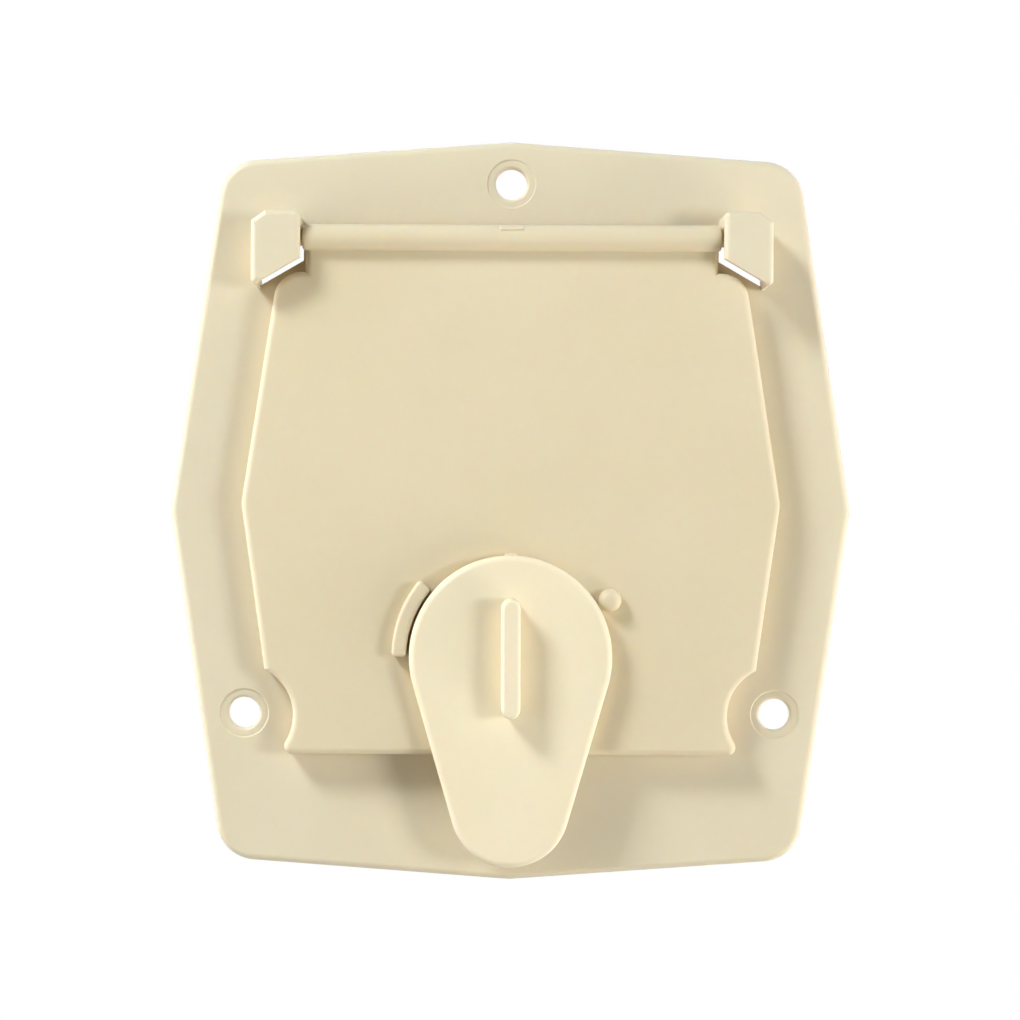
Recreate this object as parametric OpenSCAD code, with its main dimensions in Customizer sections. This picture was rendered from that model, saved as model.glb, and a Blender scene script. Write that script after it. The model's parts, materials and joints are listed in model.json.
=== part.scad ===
// Power cord hatch for a caravan or camper wall.
// A flange plate carries a lid hinged at its top, and the lid carries a turning teardrop cover
// whose tail hides the notch where the cord leaves while the lid is shut.
// Every piece is drawn lying flat, z being its height above the wall, and then stood up:
// +X to the right, +Z up, the wall behind y = 0 and the front of the hatch towards -Y.

/* [Flange plate] */
// Width across the side points
plate_w = 136.5; // [130:0.5:150]
// Height across the top and bottom points
plate_h = 148; // [146:0.5:160]
// How far each side leans in from its point to the corner
plate_side_lean = 10.6; // [4:0.1:14]
// How far the top and bottom edges fall from their point to the corner
plate_top_fall = 4.2; // [1:0.1:6]
// Radius of the four corners
plate_corner_r = 8; // [4:0.5:12]
// Radius that softens the two side points
plate_side_r = 8; // [3:1:60]
// Radius that softens the top and bottom points
plate_top_r = 10; // [3:1:90]
// Thickness of the flange
plate_t = 2.5; // [2:0.1:4]
// Rounding of the flange's front edge
plate_edge_r = 1.5; // [0.5:0.1:1.8]

/* [Screw holes] */
// Diameter of the three through holes
screw_hole_d = 6.4; // [4:0.1:7]
// Diameter of the seat sunk round each hole
screw_seat_d = 9.6; // [8:0.1:10.5]
// Depth of that seat
screw_seat_depth = 0.2; // [0.1:0.1:0.8]
// How far the top hole lies inside the flange's top point
top_hole_in = 8.5; // [7:0.1:9.5]
// How far the lower holes lie inside the side points
low_hole_in = 15.1; // [14:0.1:16]
// Height of the lower holes above the bottom point
low_hole_up = 33.3; // [31:0.1:36]

/* [Cord opening] */
// Diameter of the round opening
opening_d = 91.6; // [88:0.1:92]
// Wall of the collar behind the flange
collar_wall = 2; // [1.5:0.1:3]
// Length of the collar into the wall
collar_len = 10; // [5:0.5:30]
// Depth and width of the chamfer that seats the collar in the flange's back
collar_seat = 0.6; // [0.3:0.1:1.2]
// Width of the notch for the cord
notch_w = 17.4; // [14:0.1:18]

/* [Hinge] */
// How far the rod's axis lies above the round opening's edge
hinge_clear = 8.1; // [8:0.1:9]
// Height of the rod's axis above the flange's face
hinge_out = 6; // [5.8:0.1:6.5]
// Diameter of the rod between the brackets
rod_d = 5.2; // [4:0.1:5.4]
// Rounding of the rod's ends, outside its journals
rod_end_r = 0.7; // [0.2:0.1:0.7]
// Diameter of its journals
journal_d = 3.4; // [2.6:0.1:3.6]
// Running clearance round a journal, on the radius
journal_gap = 0.1; // [0.05:0.01:0.1]
// How far a journal reaches into its bearing
journal_len = 7.4; // [6:0.1:7.6]
// Length of the bearing at a journal's outer end
bearing_len = 3.4; // [2.4:0.1:4.4]
// Play at the end of a journal
journal_end_gap = 0.3; // [0.2:0.1:0.5]
// How far the brackets' outer faces lie inside the side points
bracket_in = 17; // [16:0.1:18]
// Width of a bracket
bracket_w = 9.6; // [9:0.1:10]
// Height of a bracket above the flange's face
bracket_out = 10.5; // [10:0.1:12]
// Height of a bracket above the rod's axis
bracket_up = 4.9; // [4.2:0.1:5]
// How far the slanted edge at a bracket's foot lies below the axis at its inner end
slant_in_drop = 4.3; // [4:0.1:5]
// How far it lies below the axis at its outer end
slant_out_drop = 9.3; // [8:0.1:10]
// How far the foot of the bracket's outer wall lies below the axis
foot_drop = 9.5; // [9.4:0.1:11]
// Width of the slant across a bracket's upper outer corner
bracket_cut_w = 2.7; // [2:0.1:3.5]
// Height of that slant
bracket_cut_h = 2; // [1.5:0.1:3]
// Radius of a bracket's upper inner corner and lower outer corner
bracket_corner_r = 1; // [0.5:0.1:1.5]
// Radius of the two corners of the slant
bracket_cut_r = 0.4; // [0.2:0.1:0.8]
// Rounding of a bracket's front edge
bracket_edge_r = 1.2; // [0.4:0.1:1.4]
// Outer wall of a bracket, beside its core
bracket_wall = 1.1; // [1:0.1:1.6]
// Thickness of a bracket's front above its core
bracket_roof = 2; // [1.4:0.1:2.2]
// How far the core reaches above a journal
core_above = 0.3; // [0.2:0.1:0.6]
// How far the core reaches below a journal
core_below = 1.6; // [1:0.1:2.4]

/* [Lid] */
// Border of the flange beside the lid's side points
lid_side_border = 14.8; // [14:0.1:16]
// Border of the flange below the lid
lid_low_border = 25.6; // [25:0.1:26.4]
// Height of the side points above the middle
lid_point_up = 1.3; // [0:0.1:4]
// Radius that softens the side points
lid_point_r = 4; // [3:1:40]
// How far inside the side points the clearing of a lower screw hole begins
clearing_in = 4.7; // [4:0.1:5.4]
// Gap between the lid's neck and each bracket
neck_gap = 0.8; // [0.5:0.1:1.2]
// How far the lid's shoulders lie below the rod's axis
shoulder_drop = 6.7; // [6.6:0.1:8]
// Radius of the shoulders
shoulder_r = 5.6; // [5:0.1:6.5]
// Flat between the neck and a shoulder's arc
shoulder_flat = 0.7; // [0.2:0.1:1]
// Radius of the clearing round a lower screw hole
clearing_r = 10.1; // [9:0.1:10.8]
// Radius of the corner between the clearing and the bottom edge
low_corner_r = 1.6; // [1.5:0.1:2.5]
// Height of the lid's face above the flange's face
lid_out = 5.8; // [5:0.1:6.5]
// Thickness of the lid's face
lid_skin = 2.2; // [1.6:0.1:2.6]
// Thickness of the lid's side wall
lid_wall = 2; // [1.6:0.1:2.6]
// Rounding of the lid's front edge
lid_edge_r = 1.4; // [0.4:0.1:1.4]
// Gap between the lid's side wall and the flange
lid_gap = 0.4; // [0.3:0.1:0.8]
// Width of the bar that closes the lid's hollow below the rod
lid_bar = 2.5; // [1.5:0.1:4]
// Wall of the ring behind the lid
ring_wall = 1.8; // [1.2:0.1:2.4]
// Gap between the ring and the round opening
ring_gap = 0.6; // [0.5:0.1:1.5]
// How far the ring reaches into the opening
ring_reach = 1.5; // [0.5:0.1:2]

/* [Cord cover] */
// Height of the cover's pivot above the lid's bottom edge
pivot_up = 19.6; // [19.2:0.1:21]
// Diameter of the cover's disc
disc_d = 40; // [36:0.1:41]
// Diameter of the round end of the tail
tail_d = 23.5; // [20:0.1:24]
// Border of the flange below the tail
tail_border = 3.9; // [3:0.1:5.5]
// Thickness of the cover
cover_t = 3.8; // [3:0.1:5]
// Thickness of the cover's face
cover_skin = 1.8; // [1.2:0.1:2.2]
// Thickness of the cover's side wall
cover_wall = 1.6; // [1.2:0.1:2.2]
// Rounding of the cover's front edge
cover_edge_r = 1.2; // [0.4:0.1:1.4]
// Gap between the cover and the lid's face
cover_gap = 0.3; // [0.2:0.1:0.5]
// Length of the grip rib
grip_len = 23.2; // [18:0.1:26]
// Width of the grip rib
grip_w = 3.6; // [3:0.1:5]
// Height of the grip rib above the cover
grip_out = 5.5; // [4:0.1:8]
// Rounding of the rib's top
grip_edge_r = 0.5; // [0.2:0.1:1]
// Width of the web behind the tail
web_w = 1.4; // [1:0.1:2]

/* [Pivot] */
// Diameter of the hub that goes through the lid
hub_d = 10; // [8:0.1:12]
// Running clearance round the hub, on the radius
hub_gap = 0.1; // [0.05:0.01:0.1]
// Play between the washer and the lid
hub_play = 0.2; // [0.1:0.05:0.4]
// Diameter of the washer
washer_d = 16; // [14:0.5:20]
// Thickness of the washer
washer_t = 1; // [0.6:0.1:1.2]
// Diameter of the screw's shank
screw_d = 3; // [2.5:0.1:4]
// Clearance between the washer and the shank
washer_gap = 0.2; // [0.1:0.05:0.3]
// Diameter of the screw's head
screw_head_d = 6.5; // [5.5:0.1:8]
// Height of the screw's head
screw_head_t = 1.6; // [1.2:0.1:1.8]
// How deep the screw goes into the hub
screw_len = 4.5; // [3:0.1:5]

/* [Stops] */
// Gap between the disc and each stop
stop_gap = 0.5; // [0.4:0.1:0.8]
// Width of the curved stop
curved_stop_w = 2.9; // [2:0.1:4]
// Where the curved stop begins, counted from the right
curved_stop_from_angle = 140; // [120:1:150]
// Where the curved stop ends
curved_stop_to_angle = 180; // [165:1:182]
// Diameter of the round stop
round_stop_d = 4.3; // [3:0.1:5]
// Where the round stop stands, counted from the right
round_stop_angle = 29.7; // [25:0.1:40]
// Height of both stops above the lid's face
stop_out = 3; // [2:0.1:4]
// Radius of the curved stop's corners
stop_corner_r = 0.8; // [0.3:0.1:0.9]
// Rounding of the stops' tops
stop_edge_r = 0.4; // [0.2:0.1:0.8]

/* [Hidden] */
$fn = 96;
// Steps in which a rounded edge or a soft point is drawn
edge_steps = 4;
corner_steps = 6;
// Steps of the longer arcs of the lid and the cover
clearing_steps = 12;
shoulder_steps = 8;
disc_steps = 40;
tail_steps = 24;
// Radius that is left of a corner drawn far inside its edge
least_r = 0.2;
// How far a cutting shape runs past the face that it opens
over = 1;
// How far a bracket's core breaks through its inner face
core_open = 0.1;

cream = [0.89, 0.82, 0.68];
steel = [0.72, 0.72, 0.73];

plate_face = plate_t;
hinge_z = plate_face + hinge_out;
lid_face = plate_face + lid_out;
lid_back = plate_face + lid_gap;
lid_inside = lid_face - lid_skin;
cover_back = lid_face + cover_gap;
cover_face = cover_back + cover_t;
cover_inside = cover_face - cover_skin;
bracket_face = plate_face + bracket_out;

plate_half_w = plate_w / 2;
plate_half_h = plate_h / 2;
plate_corner_x = plate_half_w - plate_side_lean;
plate_corner_y = plate_half_h - plate_top_fall;
top_hole_y = plate_half_h - top_hole_in;
low_hole = [plate_half_w - low_hole_in, low_hole_up - plate_half_h];
opening_r = opening_d / 2;
collar_r = opening_r + collar_wall;
ring_r = opening_r - ring_gap;

hinge_y = opening_r + hinge_clear;
bracket_outer_x = plate_half_w - bracket_in;
bracket_inner_x = bracket_outer_x - bracket_w;
bracket_top = hinge_y + bracket_up;
// The slanted edge at its foot, along which the core is open
slant_in = [bracket_inner_x, hinge_y - slant_in_drop];
slant_out = [bracket_outer_x - bracket_wall, hinge_y - slant_out_drop];
bracket_foot = hinge_y - foot_drop;

lid_half_w = plate_half_w - lid_side_border;
lid_bottom = lid_low_border - plate_half_h;
neck_x = bracket_inner_x - neck_gap;
shoulder_y = hinge_y - shoulder_drop;

disc_r = disc_d / 2;
tail_r = tail_d / 2;
pivot = [0, lid_bottom + pivot_up];
// The notch in the flange ends behind the middle of the tail's round end
tail_end = [0, tail_border + tail_r - plate_half_h];
tail_len = pivot[1] - tail_end[1];
// Angle between the tail's middle line and each of its straight flanks
tail_slope = asin((disc_r - tail_r) / tail_len);
hub_end = lid_inside - hub_play;
washer_back = hub_end - washer_t;

// Points on an arc about c, from angle a0 to angle a1, ends included
function arc(c, r, a0, a1, steps) =
    [for (i = [0:steps]) let (a = a0 + (a1 - a0) * i / steps) c + r * [cos(a), sin(a)]];

// A list without its first point
function tail(pts) = [for (i = [1:len(pts) - 1]) pts[i]];

function unit(v) = v / norm(v);

// The points mirrored to the left side, in reverse order, so that an outline closes
function mirrored(pts) =
    [for (i = [len(pts) - 1:-1:0]) [-pts[i][0], pts[i][1]]];

// Corner p of a convex outline, met from a and left towards b, moved in by d
function inset_corner(a, p, b, d) =
    let (
        u = unit(p - a),
        v = unit(b - p),
        nu = [-u[1], u[0]],
        nv = [-v[1], v[0]]
    )
    p + d * (nu + nv) / (1 + nu * nv);

// Arc of radius r that touches both legs of the corner a, p, b
function fillet(a, p, b, r, steps) =
    let (
        u = unit(p - a),
        v = unit(b - p),
        turn = acos(u * v),
        centre = p + r / cos(turn / 2) * unit(v - u),
        from = atan2(-u[0], u[1])
    )
    arc(centre, r, from, from + turn, steps);

// A convex outline of [x, y, radius] corners, counterclockwise, drawn d inside its edge
function rounded_outline(corners, d) =
    let (
        n = len(corners),
        p = [for (c = corners) [c[0], c[1]]],
        q = [for (i = [0:n - 1]) inset_corner(p[(i + n - 1) % n], p[i], p[(i + 1) % n], d)]
    )
    [for (i = [0:n - 1])
        each fillet(q[(i + n - 1) % n], q[i], q[(i + 1) % n],
            max(corners[i][2] - d, least_r), corner_steps)];

// Where the line through a and b meets the circle about c, on the side nearer b
function line_circle(a, b, c, r) =
    let (
        u = unit(b - a),
        near = a + ((c - a) * u) * u,
        away = norm(c - near)
    )
    near + sqrt(r * r - away * away) * u;

plate_corners = [
    [plate_half_w, 0, plate_side_r],
    [plate_corner_x, plate_corner_y, plate_corner_r],
    [0, plate_half_h, plate_top_r],
    [-plate_corner_x, plate_corner_y, plate_corner_r],
    [-plate_half_w, 0, plate_side_r],
    [-plate_corner_x, -plate_corner_y, plate_corner_r],
    [0, -plate_half_h, plate_top_r],
    [plate_corner_x, -plate_corner_y, plate_corner_r],
];

// Right half of the lid's outline, from the bottom edge up to the rod, drawn d inside its edge
function lid_half(d) =
    let (
        low_r = max(low_corner_r - d, least_r),
        low_y = lid_bottom + d + low_r,
        low_c = low_hole - [sqrt(pow(clearing_r + d + low_r, 2) - pow(low_hole[1] - low_y, 2)), 0],
        corner_c = [low_c[0], low_y],
        meet = atan2(low_hole[1] - low_y, low_hole[0] - corner_c[0]),
        side_x = lid_half_w - clearing_in,
        side_y = low_hole[1] + sqrt(pow(clearing_r, 2) - pow(low_hole[0] - side_x, 2)),
        corner = [side_x, side_y],
        point = [lid_half_w, lid_point_up],
        shoulder_c = [neck_x + shoulder_flat, shoulder_y - shoulder_r],
        // the side's upper stretch leaves the shoulder's arc in line with it
        to_point = point - shoulder_c,
        leave = atan2(to_point[1], to_point[0]) + acos(shoulder_r / norm(to_point)),
        touch = shoulder_c + shoulder_r * [cos(leave), sin(leave)],
        side_in = unit(point - corner),
        low_a = corner + d * [-side_in[1], side_in[0]],
        low_b = point + d * [-side_in[1], side_in[0]],
        edge = line_circle(low_a, low_b, low_hole, clearing_r + d) - low_hole
    )
    concat(
        arc(corner_c, low_r, -90, meet, edge_steps),
        tail(arc(low_hole, clearing_r + d, 180 + meet, atan2(edge[1], edge[0]), clearing_steps)),
        fillet(low_a, inset_corner(corner, point, touch, d), touch, lid_point_r, edge_steps),
        arc(shoulder_c, shoulder_r - d, leave, 90, shoulder_steps),
        [[neck_x - d, shoulder_y - d], [neck_x - d, hinge_y]]
    );

function lid_outline(d) = concat(lid_half(d), mirrored(lid_half(d)));

// The teardrop, about the pivot, drawn d inside its edge
function cover_outline(d) = concat(
    arc(pivot, disc_r - d, -tail_slope, 180 + tail_slope, disc_steps),
    arc(tail_end, tail_r - d, 180 + tail_slope, 360 - tail_slope, tail_steps)
);

// The grip rib, about the pivot, drawn d inside its edge
function grip_outline(d) =
    let (end = [0, (grip_len - grip_w) / 2])
    concat(
        arc(pivot + end, grip_w / 2 - d, 0, 180, tail_steps),
        arc(pivot - end, grip_w / 2 - d, 180, 360, tail_steps)
    );

// Outline of a bracket on the right side, before its foot is cut off at a slant
bracket_corners = [
    [bracket_inner_x, bracket_foot, bracket_corner_r],
    [bracket_outer_x, bracket_foot, bracket_corner_r],
    [bracket_outer_x, bracket_top - bracket_cut_h, bracket_cut_r],
    [bracket_outer_x - bracket_cut_w, bracket_top, bracket_cut_r],
    [bracket_inner_x, bracket_top, bracket_corner_r],
];

// Stands a piece up that was drawn lying flat
module stand_up() {
    rotate([90, 0, 0]) children();
}

// How far a rounded edge of radius r has come in, and risen, after i of its steps
function rounding_inset(r, i) = r * (1 - cos(90 * i / edge_steps));
function rounding_rise(r, i) = r * sin(90 * i / edge_steps);

// Skins a pile of outlines that have as many points each, [height, points] from the bottom up.
// The ends are closed by fans about a point that sees the whole outline.
module skin_through(rings, middle) {
    n = len(rings[0][1]);
    m = len(rings);
    side_points = [for (ring = rings) each [for (p = ring[1]) [p[0], p[1], ring[0]]]];
    points = concat(side_points, [
        [middle[0], middle[1], rings[0][0]],
        [middle[0], middle[1], rings[m - 1][0]]
    ]);
    sides = [for (k = [0:m - 2]) for (i = [0:n - 1])
        let (j = (i + 1) % n)
        each [
            [k * n + i, (k + 1) * n + i, k * n + j],
            [k * n + j, (k + 1) * n + i, (k + 1) * n + j]
        ]];
    bottom = [for (i = [0:n - 1]) [n * m, i, (i + 1) % n]];
    top = [for (i = [0:n - 1]) [n * m + 1, (m - 1) * n + (i + 1) % n, (m - 1) * n + i]];
    polyhedron(points, concat(sides, bottom, top), convexity = 4);
}

// A slab from height low to height high, its front edge rounded with radius r.
// outline(d) gives its outline drawn d inside its edge.
module soft_slab(low, high, r, outline, middle) {
    translate([0, 0, low])
        linear_extrude(high - r - low)
            polygon(outline(0));
    skin_through([for (i = [0:edge_steps]) [
        high - r + rounding_rise(r, i),
        outline(rounding_inset(r, i))
    ]], middle);
}

module mounting_plate() {
    color(cream)
    stand_up()
    difference() {
        soft_slab(0, plate_t, plate_edge_r, function(d) rounded_outline(plate_corners, d), [0, 0]);
        translate([0, 0, -over])
            cylinder(h = plate_t + 2 * over, d = opening_d);
        translate([0, 0, -over])
            cylinder(h = collar_seat + over, r1 = collar_r + over, r2 = collar_r - collar_seat);
        notch_cut();
        screw_hole([0, top_hole_y]);
        for (side = [-1, 1]) {
            screw_hole([side * low_hole[0], low_hole[1]]);
            translate([0, 0, -over])
                linear_extrude(plate_t + 2 * over)
                    scale([side, 1]) bracket_core();
        }
    }
}

// The cord's notch: straight sides down to a round end behind the tail
module notch_cut() {
    translate([0, tail_end[1], -over])
        cylinder(h = plate_t + 2 * over, d = notch_w);
    translate([-notch_w / 2, tail_end[1], -over])
        cube([notch_w, -tail_end[1] - opening_r / 2, plate_t + 2 * over]);
}

module screw_hole(at) {
    translate([at[0], at[1], -over])
        cylinder(h = plate_t + 2 * over, d = screw_hole_d);
    translate([at[0], at[1], plate_t - screw_seat_depth])
        cylinder(h = screw_seat_depth + over, d = screw_seat_d);
}

// Collar behind the flange, open where the notch is, its foot chamfered into the flange's back
module rear_collar() {
    length = collar_len + collar_seat;
    color(cream)
    stand_up()
    translate([0, 0, -collar_len])
    difference() {
        union() {
            cylinder(h = collar_len, r = collar_r);
            translate([0, 0, collar_len])
                cylinder(h = collar_seat, r1 = collar_r, r2 = collar_r - collar_seat);
        }
        translate([0, 0, -over])
            cylinder(h = length + 2 * over, r = opening_r);
        translate([-notch_w / 2, -collar_r - over, -over])
            cube([notch_w, collar_r, length + 2 * over]);
    }
}

// The hollow that a bracket's core leaves, on the right side: open to the rod and to the rear
module bracket_core() {
    bearing_x = bracket_inner_x + journal_len - bearing_len;
    core_top = hinge_y + journal_d / 2 + core_above;
    core_low = hinge_y - journal_d / 2 - core_below;
    // it breaks through the bracket's inner face, over the lid's gap
    open_x = bracket_inner_x - core_open;
    polygon([
        [open_x, core_top],
        [open_x, slant_in[1]],
        slant_out,
        [slant_out[0], core_low],
        [bearing_x, core_low],
        [bearing_x, core_top],
    ]);
}

// A bracket, drawn on the right side: rounded block, hollow behind, with a blind bearing
module hinge_bracket(side) {
    color(cream)
    stand_up()
    scale([side, 1, 1])
    difference() {
        soft_slab(plate_face, bracket_face, bracket_edge_r,
            function(d) rounded_outline(bracket_corners, d),
            [bracket_inner_x + bracket_w / 2, hinge_y]);
        // the foot is cut off along the slanted edge, but for the outer wall's end
        translate([0, 0, plate_face - over])
            linear_extrude(bracket_out + 2 * over)
                polygon([
                    slant_in - [over, 0],
                    [slant_in[0] - over, bracket_foot - over],
                    [slant_out[0], bracket_foot - over],
                    slant_out,
                    slant_in,
                ]);
        translate([0, 0, plate_face - over])
            linear_extrude(bracket_out - bracket_roof + over)
                bracket_core();
        translate([bracket_inner_x - over, hinge_y, hinge_z])
            rotate([0, 90, 0])
                cylinder(h = over + journal_len + journal_end_gap, d = journal_d + 2 * journal_gap);
    }
}

module left_hinge_bracket() {
    hinge_bracket(-1);
}

module right_hinge_bracket() {
    hinge_bracket(1);
}

// Outline of the tray's hollow: inside its side wall, and closed by a bar below the rod
module tray_hollow() {
    intersection() {
        polygon(lid_outline(lid_wall));
        translate([-plate_half_w, -plate_half_h])
            square([plate_w, plate_half_h + hinge_y - rod_d / 2 - lid_bar]);
    }
}

// Shallow tray with a rounded front edge, let in round the rod
module lid_panel() {
    color(cream)
    stand_up()
    difference() {
        soft_slab(lid_back, lid_face, lid_edge_r, function(d) lid_outline(d), [0, 0]);
        translate([0, 0, lid_back - over])
            linear_extrude(lid_inside - lid_back + over)
                tray_hollow();
        translate([-plate_half_w, hinge_y, hinge_z])
            rotate([0, 90, 0])
                cylinder(h = plate_w, d = rod_d);
        translate([pivot[0], pivot[1], lid_inside - over])
            cylinder(h = lid_skin + 2 * over, d = hub_d + 2 * hub_gap);
    }
}

// Half the section of a round bar from height 0 to h, its end rounded with radius r
module rounded_bar(radius, h, r) {
    square([radius, h - r]);
    square([radius - r, h]);
    translate([radius - r, h - r])
        circle(r = r);
}

module hinge_rod() {
    reach = bracket_inner_x + journal_len;
    color(cream)
    translate([0, -hinge_z, hinge_y])
    rotate([0, 90, 0])
    union() {
        for (end = [0, 180])
            rotate([end, 0, 0])
                rotate_extrude()
                    rounded_bar(rod_d / 2, neck_x, rod_end_r);
        translate([0, 0, -reach])
            cylinder(h = 2 * reach, d = journal_d);
    }
}

// Round rib behind the lid that centres it in the opening, cut away for the cord.
// A ring too wide for the tray's hollow ends at the hollow's wall.
module lid_ring() {
    ring_end = plate_face - ring_reach;
    length = lid_inside - ring_end;
    gap_w = notch_w + 2 * ring_gap;
    color(cream)
    stand_up()
    translate([0, 0, ring_end])
    intersection() {
        difference() {
            cylinder(h = length, r = ring_r);
            translate([0, 0, -over])
                cylinder(h = length + 2 * over, r = ring_r - ring_wall);
            translate([-gap_w / 2, -ring_r - over, -over])
                cube([gap_w, ring_r, length + 2 * over]);
        }
        linear_extrude(length)
            tray_hollow();
    }
}

// Outline of the curved stop about the pivot, with rounded corners
function stop_outline() =
    let (
        r = stop_corner_r,
        inner = disc_r + stop_gap,
        outer = inner + curved_stop_w,
        turn_in = asin(r / (inner + r)),
        turn_out = asin(r / (outer - r)),
        from = curved_stop_from_angle,
        to = curved_stop_to_angle,
        corner = function(c, a) c * [cos(a), sin(a)]
    )
    concat(
        tail(arc([0, 0], outer, from + turn_out, to - turn_out, clearing_steps)),
        tail(arc(corner(outer - r, to - turn_out), r, to - turn_out, to + 90, edge_steps)),
        arc(corner(inner + r, to - turn_in), r, to + 90, to + 180 - turn_in, edge_steps),
        tail(arc([0, 0], inner, to - turn_in, from + turn_in, clearing_steps)),
        tail(arc(corner(inner + r, from + turn_in), r, from + 180 + turn_in, from + 270, edge_steps)),
        arc(corner(outer - r, from + turn_out), r, from - 90, from + turn_out, edge_steps)
    );

// Stop that the tail's left flank meets, a curved wall with a rounded top
module curved_stop() {
    straight_w = curved_stop_w - 2 * stop_edge_r;
    color(cream)
    stand_up()
    translate([pivot[0], pivot[1], lid_face])
    intersection() {
        rotate_extrude()
            translate([disc_r + stop_gap, 0]) {
                square([curved_stop_w, stop_out - stop_edge_r]);
                translate([stop_edge_r, 0])
                    square([straight_w, stop_out]);
                for (x = [stop_edge_r, stop_edge_r + straight_w])
                    translate([x, stop_out - stop_edge_r])
                        circle(r = stop_edge_r);
            }
        linear_extrude(stop_out)
            polygon(stop_outline());
    }
}

// Stop that the tail's right flank meets, a round stud
module round_stop() {
    from_pivot = disc_r + stop_gap + round_stop_d / 2;
    at = pivot + from_pivot * [cos(round_stop_angle), sin(round_stop_angle)];
    color(cream)
    stand_up()
    translate([at[0], at[1], lid_face])
        rotate_extrude()
            rounded_bar(round_stop_d / 2, stop_out, stop_edge_r);
}

module cord_cover() {
    color(cream)
    stand_up()
    difference() {
        soft_slab(cover_back, cover_face, cover_edge_r, function(d) cover_outline(d), pivot);
        translate([0, 0, cover_back - over])
            linear_extrude(cover_inside - cover_back + over)
                polygon(cover_outline(cover_wall));
    }
}

// Straight rib with round ends across the disc
module grip_rib() {
    color(cream)
    stand_up()
    soft_slab(cover_face, cover_face + grip_out, grip_edge_r, function(d) grip_outline(d), pivot);
}

// Thin web that stiffens the tail, inside its hollow
module tail_web() {
    start = hub_d / 2;
    end = tail_len + tail_r - cover_wall;
    color(cream)
    stand_up()
    translate([pivot[0] - web_w / 2, pivot[1] - end, cover_back])
        cube([web_w, end - start, cover_inside - cover_back]);
}

module pivot_hub() {
    color(cream)
    stand_up()
    translate([pivot[0], pivot[1], 0])
    difference() {
        translate([0, 0, hub_end])
            cylinder(h = cover_inside - hub_end, d = hub_d);
        translate([0, 0, hub_end - over])
            cylinder(h = screw_len + over, d = screw_d);
    }
}

module retaining_washer() {
    color("white")
    stand_up()
    translate([pivot[0], pivot[1], washer_back])
    difference() {
        cylinder(h = washer_t, d = washer_d);
        translate([0, 0, -over])
            cylinder(h = washer_t + 2 * over, d = screw_d + 2 * washer_gap);
    }
}

module retaining_screw() {
    color(steel)
    stand_up()
    translate([pivot[0], pivot[1], washer_back])
    union() {
        translate([0, 0, -screw_head_t])
            cylinder(h = screw_head_t, d = screw_head_d);
        cylinder(h = washer_t + screw_len, d = screw_d);
    }
}

mounting_plate();
rear_collar();
left_hinge_bracket();
right_hinge_bracket();
lid_panel();
hinge_rod();
lid_ring();
curved_stop();
round_stop();
cord_cover();
grip_rib();
tail_web();
pivot_hub();
retaining_washer();
retaining_screw();
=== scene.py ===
# %% [markdown]
# # A power cord hatch in cream plastic
# The hatch screws to the outside wall of a caravan. A flange carries a lid on a moulded rod,
# and the lid carries a teardrop cover that turns away from the notch where the cord leaves.
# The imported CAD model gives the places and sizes. Here every moulding gets the soft edges,
# sink marks and finish that a real one has, and then lamps, a floor and a camera.

import json
import math

import bmesh
import bpy
import numpy as np
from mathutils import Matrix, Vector
from mathutils.geometry import delaunay_2d_cdt

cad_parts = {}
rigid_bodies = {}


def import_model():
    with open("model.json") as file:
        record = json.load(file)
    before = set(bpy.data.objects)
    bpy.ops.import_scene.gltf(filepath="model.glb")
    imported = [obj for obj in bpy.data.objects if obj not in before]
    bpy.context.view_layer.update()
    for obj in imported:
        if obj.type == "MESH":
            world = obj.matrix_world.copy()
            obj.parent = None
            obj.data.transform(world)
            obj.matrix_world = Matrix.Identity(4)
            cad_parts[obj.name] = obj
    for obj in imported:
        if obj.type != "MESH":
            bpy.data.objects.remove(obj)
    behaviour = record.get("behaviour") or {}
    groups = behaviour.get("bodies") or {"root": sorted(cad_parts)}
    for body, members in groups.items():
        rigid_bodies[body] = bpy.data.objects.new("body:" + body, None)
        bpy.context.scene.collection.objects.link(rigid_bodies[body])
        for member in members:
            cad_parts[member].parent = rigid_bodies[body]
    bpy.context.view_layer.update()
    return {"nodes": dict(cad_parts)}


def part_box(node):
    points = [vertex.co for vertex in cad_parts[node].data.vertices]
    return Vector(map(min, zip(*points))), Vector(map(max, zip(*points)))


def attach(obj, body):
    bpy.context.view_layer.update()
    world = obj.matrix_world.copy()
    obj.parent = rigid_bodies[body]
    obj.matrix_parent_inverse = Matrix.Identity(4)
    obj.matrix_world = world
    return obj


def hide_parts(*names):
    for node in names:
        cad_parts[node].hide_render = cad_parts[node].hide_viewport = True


for leftover in list(bpy.data.objects):
    bpy.data.objects.remove(leftover)
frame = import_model()
print("nodes:", ", ".join(sorted(frame["nodes"])))

# %% [markdown]
# ## Lying flat
# A moulder draws such parts lying flat: x to the right, y up the wall and z out of the wall,
# in millimetres. All outlines below are drawn that way, and one function stands them up at the
# end. Heights and places are read back from the boxes of the CAD nodes, so nothing is fitted by eye.

# %% Measure the CAD nodes, lying flat
MM = 0.001


def flat_box(node):
    """Lowest and highest corner of a CAD node in millimetres, lying flat: (x, y, z) is (X, Z, -Y)."""
    low, high = (np.array(corner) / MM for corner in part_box(node))
    return np.array([low[0], low[2], -high[1]]), np.array([high[0], high[2], -low[1]])


def stand_up(points):
    """World place in metres of points lying flat: X = x, Y = -z, Z = y."""
    return np.stack([points[..., 0], -points[..., 2], points[..., 1]], -1) * MM


for node in ("mounting_plate", "lid_panel", "cord_cover"):
    low, high = flat_box(node)
    print(node, "measures", np.round(high - low, 2), "mm")

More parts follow.
